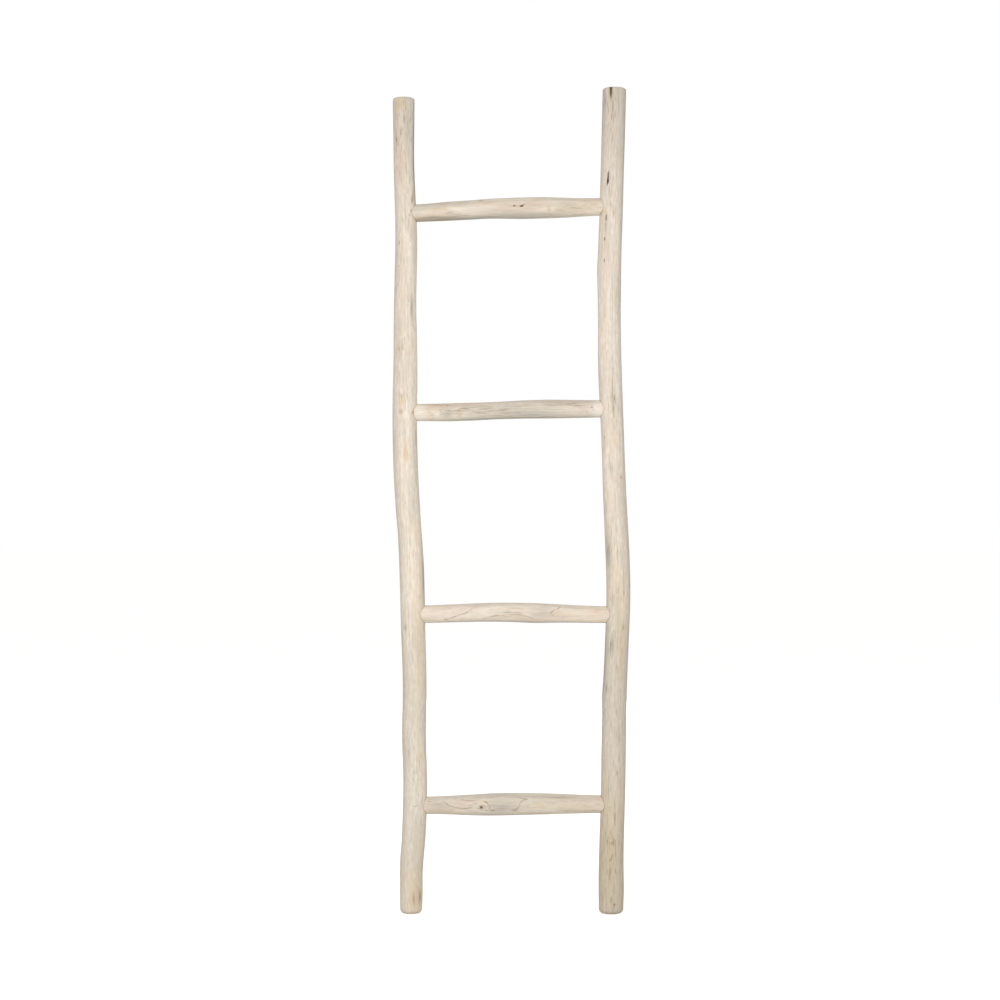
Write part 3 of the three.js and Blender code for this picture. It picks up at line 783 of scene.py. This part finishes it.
for name, piece in (rails | rungs).items():
    flaws = [pit(branches[name], mark) for mark in HOLES[name]]
    flaws += [crack_blade(branches[name], crack) for crack in CRACKS.get(name, [])]
    carve(piece, "DIFFERENCE", *[tool("flaw", [flaw]) for flaw in flaws])


# The looks

def store(mesh, name, kind, values):
    """Keeps a value for each corner of a mesh, for its material to read."""
    attribute = mesh.attributes.new(name, kind, "POINT")
    attribute.data.foreach_set("value" if kind == "FLOAT" else "vector", np.asarray(values, float).ravel())


def ring_distance(branch, lines, heights, across):
    """How far places on a branch are from its nearest ring line, and how much of that shows.

    The distance is in millimetres on the skin rolled out flat, and below nothing on the pale side.
    """
    half = np.median(branch.reach) / MM
    angles = np.arctan2(across[:, 1], across[:, 0])
    places = heights / MM + 1j * half * angles
    distance, shown = np.full(len(places), np.inf), np.zeros(len(places))
    for force, points in lines:
        bends = [at + 1j * half * math.radians(around) for at, around in points]
        steps = np.abs(np.diff(bends))
        for number, (start, end) in enumerate(zip(bends, bends[1:])):
            off = (places - start) / (end - start)
            near = np.clip(off.real, 0, 1)
            gap = np.abs(off - near) * steps[number]
            run = steps[:number].sum() + near * steps[number]
            closer = gap < np.abs(distance)
            distance[closer] = np.where(off.imag > 0, gap, -gap)[closer]
            fade = np.clip(np.minimum(run, steps.sum() - run) / RING_FADE, 0, 1)
            shown[closer] = force * fade[closer]
    shown *= np.clip(2 - 2 * np.abs(distance) / RING_REACH, 0, 1)
    return np.clip(distance, -RING_REACH, RING_REACH), shown


def grime(corners, neighbours):
    """How much painted shade and dirt darken places that are near another branch."""
    dirt_and_shade = np.zeros(len(corners))
    for low, high, skin in neighbours:
        near = np.flatnonzero(((corners > low) & (corners < high)).all(axis=1))
        for number in near:
            gap = skin.find_nearest(Vector(corners[number]))[3]
            dirt_and_shade[number] = max(dirt_and_shade[number], math.exp(-((gap / JOINT_DIRT_AND_SHADE_REACH) ** 2)))
    return dirt_and_shade


def mark_out(piece, name, neighbours):
    """Tells a branch's material where each corner lies in the straight grain, its flaws and painted shade.
    """
    branch = branches[name]
    corners = corners_of(piece.data)
    heights, across = branch.straightened(corners)
    grain = np.column_stack([across, heights + branch.grain_from]) / MM
    store(piece.data, "grain", "FLOAT_VECTOR", grain)
    hole = np.full((len(heights), 3), np.inf)
    hole[:, 2] = 0
    cracks = []
    for crack in CRACKS.get(name, []):
        end = branch.length / MM if crack.end == "tip" else 0
        wide = CRACK_SHADE_WIDTH * crack.wide
        cracks.append(Mark(end, crack.around, 2 * crack.long, wide, CRACK_SHADE))
    for mark in HOLES[name] + cracks:
        aside, along = mark.shares(heights, across)
        near = np.maximum(abs(aside), abs(along)) < np.maximum(abs(hole[:, 0]), abs(hole[:, 1]))
        hole[near] = np.column_stack([aside, along, np.full(len(heights), mark.force)])[near]
    hole[:, 2] *= abs(hole[:, :2]).max(axis=1) < OUTSIDE
    store(piece.data, "hole", "FLOAT_VECTOR", np.clip(hole, -OUTSIDE, OUTSIDE))
    for kind in TINT_KINDS:
        tint = sum(Mark(*mark).fading(heights, across) for mark in TINTS[name][kind])
        if kind == "hairs":
            tint += HAIR_BASE
        # The stains also take the painted shade and dirt where branches meet
        if kind == "stains_and_painted_shade":
            tint += JOINT_DIRT_AND_SHADE * grime(corners, neighbours)
        store(piece.data, kind, "FLOAT", np.clip(tint, 0, 1))
    distance, shown = ring_distance(branch, RING_LINES[name], heights, across)
    lines = np.column_stack([distance, shown, np.zeros(len(shown))])
    store(piece.data, "ring_line", "FLOAT_VECTOR", lines)


def linear(shade):
    """An sRGB hex colour as the linear one that a node takes."""
    parts = [int(shade[start:start + 2], 16) / 255 for start in (1, 3, 5)]
    return (*[part / 12.92 if part <= 0.04045 else ((part + 0.055) / 1.055) ** 2.4 for part in parts], 1)


def add(tree, kind, inputs=None, **settings):
    """Adds a node with its settings, and gives its outputs. An input is a value, or an output to link."""
    node = tree.nodes.new("ShaderNode" + kind)
    for name, value in settings.items():
        setattr(node, name, value)
    for socket, value in (inputs or {}).items():
        if isinstance(value, bpy.types.NodeSocket):
            tree.links.new(value, node.inputs[socket])
        else:
            node.inputs[socket].default_value = value
    return node.outputs


def empty_material(name):
    """A new material and its node tree, with nothing in it."""
    material = bpy.data.materials.new(name)
    material.use_nodes = True
    material.node_tree.nodes.clear()
    return material, material.node_tree


def layered(tree, drawn, base, layers, **settings):
    """A base colour with others laid on it, each where its own pattern is strong.

    A layer is a pattern, where it starts and is full, its strongest share and its colour.
    """
    colour = linear(base)
    for pattern, start, full, share, shade in layers:
        span = {"Value": drawn[pattern], "From Min": start, "From Max": full, "To Max": share}
        covered = add(tree, "MapRange", span, **settings)["Result"]
        colour = add(tree, "Mix", {0: covered, 6: colour, 7: linear(shade)}, data_type="RGBA")[2]
    return colour


# Patterns in the grain: their size across and along in millimetres, and how much finer detail they have.
# The real fibres and hairs are a tenth as wide, too fine to show in the render, so they are drawn as
# coarse as they need to show.
PATTERNS = {
    "fibres": (1.9, 40, 6),
    "streaks": (3.4, 110, 5),
    "patches": (22, 150, 2),
    "clouds": (34, 210, 2),
    "hairs": (1.8, 22, 4),
    "ring depth": (24, 240, 1.5),
    "mottle": (4, 13, 4),
    "rag": (0.7, 2.4, 3),
}
RING_EDGE = 1.2  # from where a ring line ends to its darkest, and how far it then fades, in millimetres
RING_TAIL = 3.6
RING_WANDER = 2.4  # how far a ring line strays
FAINTEST = 0.3  # how much of a ring line shows where the mottle hides it most, and between which values
FAINT_FROM, FAINT_TO = 0.35, 0.55
HAIRS_FROM, HAIRS_TO = 0.52, 0.68  # where in its pattern a hair starts and is full
RAG = 0.9  # how far a hole's ragged edge comes in, in half widths
HOLE_EDGE, HOLE_CORE = 0.9, 0.35  # where a hole's dark starts and is full
FIBRE_HEIGHT = 0.35 * MM
ROUGHEST, SMOOTHEST = 0.92, 0.72
WOOD_IOR = 1.5

# The sawn ends, in millimetres: the patterns' size, and how much finer detail they have
END_PATTERNS = {"wobble": (11, 2), "grime": (6, 4), "pores": (0.5, 2)}
END_RING_PITCH = 1.9
END_RING_WOBBLE = 5  # how far the rings stray from round
RAYS_PER_RADIAN = 14
SAW_TURN = 0.7  # the way the saw went, in radians
SAW_MARKS = (0.9, 0.03, 0)  # how many to the millimetre across it and along it
SAW_HEIGHT = 0.5 * MM
RUST_SPOT = 0.8 * MM

CREAM = "#F5E9D8"
PINK_BEIGE = "#EAD6C6"
GREY_BEIGE = "#D6CFC1"
YELLOW_CREAM = "#EEDDB9"
PALE_WASH = "#FAF2E6"
FLUSH_PINK = "#E0BFAE"
HONEY = "#E3C58C"
RING_BROWN = "#BCA48A"
LINE_BROWN = "#94826A"
HAIR_BROWN = "#8F8068"
# The stain brown and the smudge grey also paint shade along edges, undersides and joints
STAIN_AND_PAINTED_SHADE_BROWN = "#9A774F"
SMUDGE_AND_PAINTED_SHADE_GREY = "#AFAB9F"
HOLE_BROWN = "#5C4232"
SAWN_CREAM = "#DFCFB8"
STEEL_GREY = "#8D8B87"
RUST_BROWN = "#6B4A35"
FLOOR_WHITE = "#DFDFDD"

# What the rings' lines, the flaws and the painted shade do to either wood, over its own colours
FLAW_AND_PAINTED_SHADE_LAYERS = [
    ("pinks", 0.0, 0.5, 0.6, FLUSH_PINK),
    ("yellows", 0.0, 0.5, 0.6, HONEY),
    ("pales", 0.0, 0.5, 0.8, PALE_WASH),
    ("smudges_and_painted_shade", 0.0, 0.5, 0.9, SMUDGE_AND_PAINTED_SHADE_GREY),
    ("hairs", 0.0, 1.0, 0.7, HAIR_BROWN),
    ("ring lines", 0.0, 1.0, 0.8, LINE_BROWN),
    ("stains_and_painted_shade", 0.0, 0.55, 1.0, STAIN_AND_PAINTED_SHADE_BROWN),
    ("holes", 0.0, 1.0, 1.0, HOLE_BROWN),
]


def wood(name, layers, ring_pitch):
    """Debarked, bleached wood: cream, with layers of other colours, then the flaws and painted shade."""
    material, tree = empty_material(name)
    grain = add(tree, "Attribute", attribute_name="grain")["Vector"]
    drawn = {}
    for pattern, (across, along, detail) in PATTERNS.items():
        scale = (1 / across, 1 / across, 1 / along)
        place = add(tree, "Mapping", {"Vector": grain, "Scale": scale})["Vector"]
        drawn[pattern] = add(tree, "TexNoise", {"Vector": place, "Scale": 1.0, "Detail": detail})["Fac"]

    # Growth rings: lines of equal depth under the old skin, each darkening slowly to a sharp edge
    turns = {0: drawn["ring depth"], 1: RING_RELIEF / ring_pitch}
    ring = add(tree, "Math", turns, operation="MULTIPLY")[0]
    drawn["rings"] = add(tree, "Math", {0: ring}, operation="FRACT")[0]

    # The rings that close up or bend sharply have their own lines
    line = add(tree, "Attribute", attribute_name="ring_line")["Vector"]
    line = add(tree, "SeparateXYZ", {"Vector": line})
    off = add(tree, "Math", {0: drawn["fibres"], 1: RING_WANDER, 2: line["X"]}, operation="MULTIPLY_ADD")[0]
    dark = line["Y"]
    for end in (-RING_EDGE, RING_TAIL):
        span = {"Value": off, "From Min": end + RING_WANDER / 2, "From Max": RING_WANDER / 2}
        side = add(tree, "MapRange", span, interpolation_type="SMOOTHSTEP")["Result"]
        dark = add(tree, "Math", {0: dark, 1: side}, operation="MULTIPLY")[0]
    span = {"Value": drawn["mottle"], "From Min": FAINT_FROM, "From Max": FAINT_TO, "To Min": FAINTEST}
    faint = add(tree, "MapRange", span)["Result"]
    drawn["ring lines"] = add(tree, "Math", {0: dark, 1: faint}, operation="MULTIPLY")[0]

    # Tints follow the fibres, and fine dark hairs show only where something brings them out
    span = {"Value": drawn["hairs"], "From Min": HAIRS_FROM, "From Max": HAIRS_TO}
    hairs = add(tree, "MapRange", span)["Result"]
    for kind in TINT_KINDS:
        tint = add(tree, "Attribute", attribute_name=kind)["Fac"]
        follows = hairs if kind == "hairs" else drawn["fibres"]
        drawn[kind] = add(tree, "Math", {0: tint, 1: follows}, operation="MULTIPLY")[0]

    # Holes have a ragged edge
    hole = add(tree, "Attribute", attribute_name="hole")["Vector"]
    shares = add(tree, "SeparateXYZ", {"Vector": hole})
    flat = add(tree, "CombineXYZ", {"X": shares["X"], "Y": shares["Y"]})["Vector"]
    out = add(tree, "VectorMath", {0: flat}, operation="LENGTH")["Value"]
    ragged = add(tree, "Math", {0: drawn["rag"], 1: -RAG, 2: out}, operation="MULTIPLY_ADD")[0]
    inside = add(tree, "MapRange", {"Value": ragged, "From Min": HOLE_EDGE, "From Max": HOLE_CORE})["Result"]
    drawn["holes"] = add(tree, "Math", {0: inside, 1: shares["Z"]}, operation="MULTIPLY")[0]

    colour = layered(tree, drawn, CREAM, layers + FLAW_AND_PAINTED_SHADE_LAYERS, interpolation_type="SMOOTHSTEP")
    span = {"Value": drawn["fibres"], "To Min": SMOOTHEST, "To Max": ROUGHEST}
    rough = add(tree, "MapRange", span)["Result"]
    bump = {"Strength": 0.7, "Distance": FIBRE_HEIGHT, "Height": drawn["fibres"]}
    normal = add(tree, "Bump", bump)["Normal"]
    looks = {"Base Color": colour, "Roughness": rough, "Normal": normal}
    shader = add(tree, "BsdfPrincipled", {**looks, "IOR": WOOD_IOR, "Specular IOR Level": 0.3})["BSDF"]
    add(tree, "OutputMaterial", {"Surface": shader})
    return material


def sawn_end_wood():
    """Sawn across: growth rings round the pith, fine rays, and the saw's marks. Dirtier than the sides."""
    material, tree = empty_material("sawn_end_wood")
    grain = add(tree, "Attribute", attribute_name="grain")["Vector"]
    parts = add(tree, "SeparateXYZ", {"Vector": grain})
    flat = add(tree, "CombineXYZ", {"X": parts["X"], "Y": parts["Y"]})["Vector"]
    drawn = {}
    for pattern, (size, detail) in END_PATTERNS.items():
        drawn[pattern] = add(tree, "TexNoise", {"Vector": flat, "Scale": 1 / size, "Detail": detail})["Fac"]
    drawn["pith"] = add(tree, "VectorMath", {0: flat}, operation="LENGTH")["Value"]
    stray = {0: drawn["wobble"], 1: END_RING_WOBBLE, 2: drawn["pith"]}
    depth = add(tree, "Math", stray, operation="MULTIPLY_ADD")[0]
    ring = add(tree, "Math", {0: depth, 1: END_RING_PITCH}, operation="DIVIDE")[0]
    drawn["rings"] = add(tree, "Math", {0: ring}, operation="FRACT")[0]
    turn = add(tree, "Math", {0: parts["Y"], 1: parts["X"]}, operation="ARCTAN2")[0]
    rays = add(tree, "CombineXYZ", {"X": turn})["Vector"]
    drawn["rays"] = add(tree, "TexNoise", {"Vector": rays, "Scale": RAYS_PER_RADIAN, "Detail": 2})["Fac"]
    colour = layered(tree, drawn, SAWN_CREAM, [
        ("rings", 0.4, 1.0, 0.5, "#AF9576"),
        ("rays", 0.55, 0.75, 0.4, "#C6AF91"),
        ("pores", 0.6, 0.75, 0.4, "#A58B6C"),
        ("grime", 0.45, 0.75, 0.6, "#A69A87"),
        ("pith", 2.0, 0.9, 0.9, "#6E543B"),
    ])
    turned = {"Vector": flat, "Rotation": (0, 0, SAW_TURN), "Scale": SAW_MARKS}
    sawn = add(tree, "Mapping", turned)["Vector"]
    marks = add(tree, "TexNoise", {"Vector": sawn, "Scale": 1.0, "Detail": 3})["Fac"]
    normal = add(tree, "Bump", {"Strength": 0.8, "Distance": SAW_HEIGHT, "Height": marks})["Normal"]
    looks = {"Base Color": colour, "Roughness": 0.9, "Normal": normal}
    shader = add(tree, "BsdfPrincipled", {**looks, "IOR": WOOD_IOR, "Specular IOR Level": 0.2})["BSDF"]
    add(tree, "OutputMaterial", {"Surface": shader})
    return material


def bleached_pole_wood():
    """Young teak poles, debarked with a knife and bleached: pale, dry and smooth, with long fibres."""
    return wood("bleached_pole_wood", [
        ("clouds", 0.42, 0.62, 0.45, PINK_BEIGE),
        ("patches", 0.48, 0.66, 0.55, GREY_BEIGE),
        ("streaks", 0.5, 0.7, 0.5, YELLOW_CREAM),
        ("streaks", 0.48, 0.3, 0.5, GREY_BEIGE),
        ("mottle", 0.5, 0.34, 0.85, PINK_BEIGE),
        ("mottle", 0.53, 0.68, 0.75, PALE_WASH),
        ("fibres", 0.5, 0.3, 1.0, GREY_BEIGE),
        ("fibres", 0.55, 0.75, 0.45, PALE_WASH),
        ("rings", 0.7, 1.0, 0.1, RING_BROWN),
    ], ring_pitch=1.8)


def sanded_rung_wood():
    """The same wood, sanded: smoother and more mottled, with the growth rings cut through at a slant."""
    return wood("sanded_rung_wood", [
        ("clouds", 0.42, 0.62, 0.7, PINK_BEIGE),
        ("patches", 0.5, 0.68, 0.6, GREY_BEIGE),
        ("streaks", 0.5, 0.7, 0.35, YELLOW_CREAM),
        ("streaks", 0.48, 0.3, 0.5, GREY_BEIGE),
        ("mottle", 0.5, 0.3, 0.45, GREY_BEIGE),
        ("mottle", 0.54, 0.7, 0.3, PALE_WASH),
        ("fibres", 0.5, 0.3, 0.4, PINK_BEIGE),
        ("rings", 0.5, 1.0, 0.22, RING_BROWN),
    ], ring_pitch=3.4)


def drawn_nail_steel():
    """Bright drawn wire that has dulled: grey, half rough, with rust beginning in spots."""
    material, tree = empty_material("drawn_nail_steel")
    place = add(tree, "TexCoord")["Object"]
    spots = add(tree, "TexNoise", {"Vector": place, "Scale": 1 / RUST_SPOT, "Detail": 3})["Fac"]
    rust = add(tree, "MapRange", {"Value": spots, "From Min": 0.5, "From Max": 0.7})["Result"]
    both = {0: rust, 6: linear(STEEL_GREY), 7: linear(RUST_BROWN)}
    colour = add(tree, "Mix", both, data_type="RGBA")[2]
    rough = add(tree, "MapRange", {"Value": rust, "To Min": 0.4, "To Max": 0.8})["Result"]
    metal = add(tree, "MapRange", {"Value": rust, "To Min": 1.0, "To Max": 0.1})["Result"]
    looks = {"Base Color": colour, "Roughness": rough, "Metallic": metal}
    add(tree, "OutputMaterial", {"Surface": add(tree, "BsdfPrincipled", looks)["BSDF"]})
    return material


def white_floor():
    """A white studio floor. The camera sees it white, apart from the ladder's shadow on it."""
    material, tree = empty_material("white_studio_floor")
    seen = add(tree, "LightPath")["Is Camera Ray"]
    paint = add(tree, "BsdfDiffuse", {"Color": linear(FLOOR_WHITE)})["BSDF"]
    glow = add(tree, "Emission", {"Color": (1, 1, 1, 1), "Strength": FLOOR_GLOW})["Emission"]
    both = add(tree, "AddShader", {0: paint, 1: glow})["Shader"]
    shader = add(tree, "MixShader", {"Fac": seen, 1: paint, 2: both})["Shader"]
    add(tree, "OutputMaterial", {"Surface": shader})
    return material


def make_floor():
    """A floor that goes on past what any view shows."""
    made = bmesh.new()
    bmesh.ops.create_grid(made, x_segments=1, y_segments=1, size=FLOOR_HALF)
    mesh = bpy.data.meshes.new("studio_floor")
    made.to_mesh(mesh)
    made.free()
    mesh.materials.append(white_floor())
    floor = put("studio_floor", mesh)


def make_light():
    """An even pale surround, a large soft lamp in front and above, and a weaker one behind."""
    world = bpy.data.worlds.new("studio")
    world.use_nodes = True
    tree = world.node_tree
    tree.nodes.clear()
    rays = add(tree, "LightPath")
    looked_at = rays["Is Camera Ray"]
    for other in ("Is Glossy Ray", "Is Transmission Ray"):
        looked_at = add(tree, "Math", {0: looked_at, 1: rays[other]}, operation="MAXIMUM")[0]
    strength = add(tree, "MapRange", {"Value": looked_at, "To Min": SURROUND, "To Max": 1.0})["Result"]
    light = add(tree, "Background", {"Color": (1, 1, 1, 1), "Strength": strength})["Background"]
    add(tree, "OutputWorld", {"Surface": light})
    bpy.context.scene.world = world

    for name, (place, size, share) in LAMPS.items():
        way = LAMP_AIM - place
        light = bpy.data.lights.new(name, "AREA")
        light.shape = "SQUARE"
        light.size = size
        light.energy = share * math.pi ** 2 * way.length ** 2
        lamp = put(name, light)
        lamp.location = place
        lamp.rotation_mode = "QUATERNION"
        lamp.rotation_quaternion = way.to_track_quat("-Z", "Y")
        lamp.visible_camera = False


def make_camera():
    """The photograph's view: straight on, from half way up the ladder."""
    camera = put("camera", bpy.data.cameras.new("camera"))
    camera.location = EYE
    camera.rotation_euler = (math.pi / 2, 0, 0)
    camera.data.sensor_width = SENSOR
    camera.data.lens = SENSOR * -EYE.y / FIELD
    bpy.context.scene.camera = camera


woods = {"rail_wood": bleached_pole_wood(), "rung_wood": sanded_rung_wood()}
sawn = sawn_end_wood()
# Each piece's bounds and skin, for the painted shade and dirt where branches meet
reaches = {}
for name, piece in (rails | rungs).items():
    corners = corners_of(piece.data)
    low, high = corners.min(axis=0) - JOINT_DIRT_AND_SHADE_MARGIN, corners.max(axis=0) + JOINT_DIRT_AND_SHADE_MARGIN
    reaches[name] = (low, high, skin_of(piece.data))
for name, piece in (rails | rungs).items():
    piece.data.shade_smooth()
    piece.data.set_sharp_from_angle(angle=SHARP)
    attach(piece, "root")
    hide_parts(name)
    slot = "rail_wood" if name in RAILS else "rung_wood"
    mark_out(piece, name, [near for other, near in reaches.items() if (other in RAILS) != (name in RAILS)])
    piece.data.materials.clear()
    piece.data.materials.append(woods[slot])
    piece.data.materials.append(sawn)
    branch = branches[name]
    zone = TIP_EDGE if name in RAILS else SHOULDER_TO
    for face in piece.data.polygons:
        height = (branch.place.inverted() @ face.center).z
        across_grain = abs(face.normal.dot(branch.place.col[2].xyz)) > SAWN_FACE
        face.material_index = int(across_grain and min(height, branch.length - height) < zone)

steel = drawn_nail_steel()
for name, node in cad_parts.items():
    if name.endswith("_nail"):
        node.data.materials.clear()
        node.data.materials.append(steel)

make_floor()
make_light()
make_camera()
bpy.context.scene.view_settings.view_transform = "Standard"
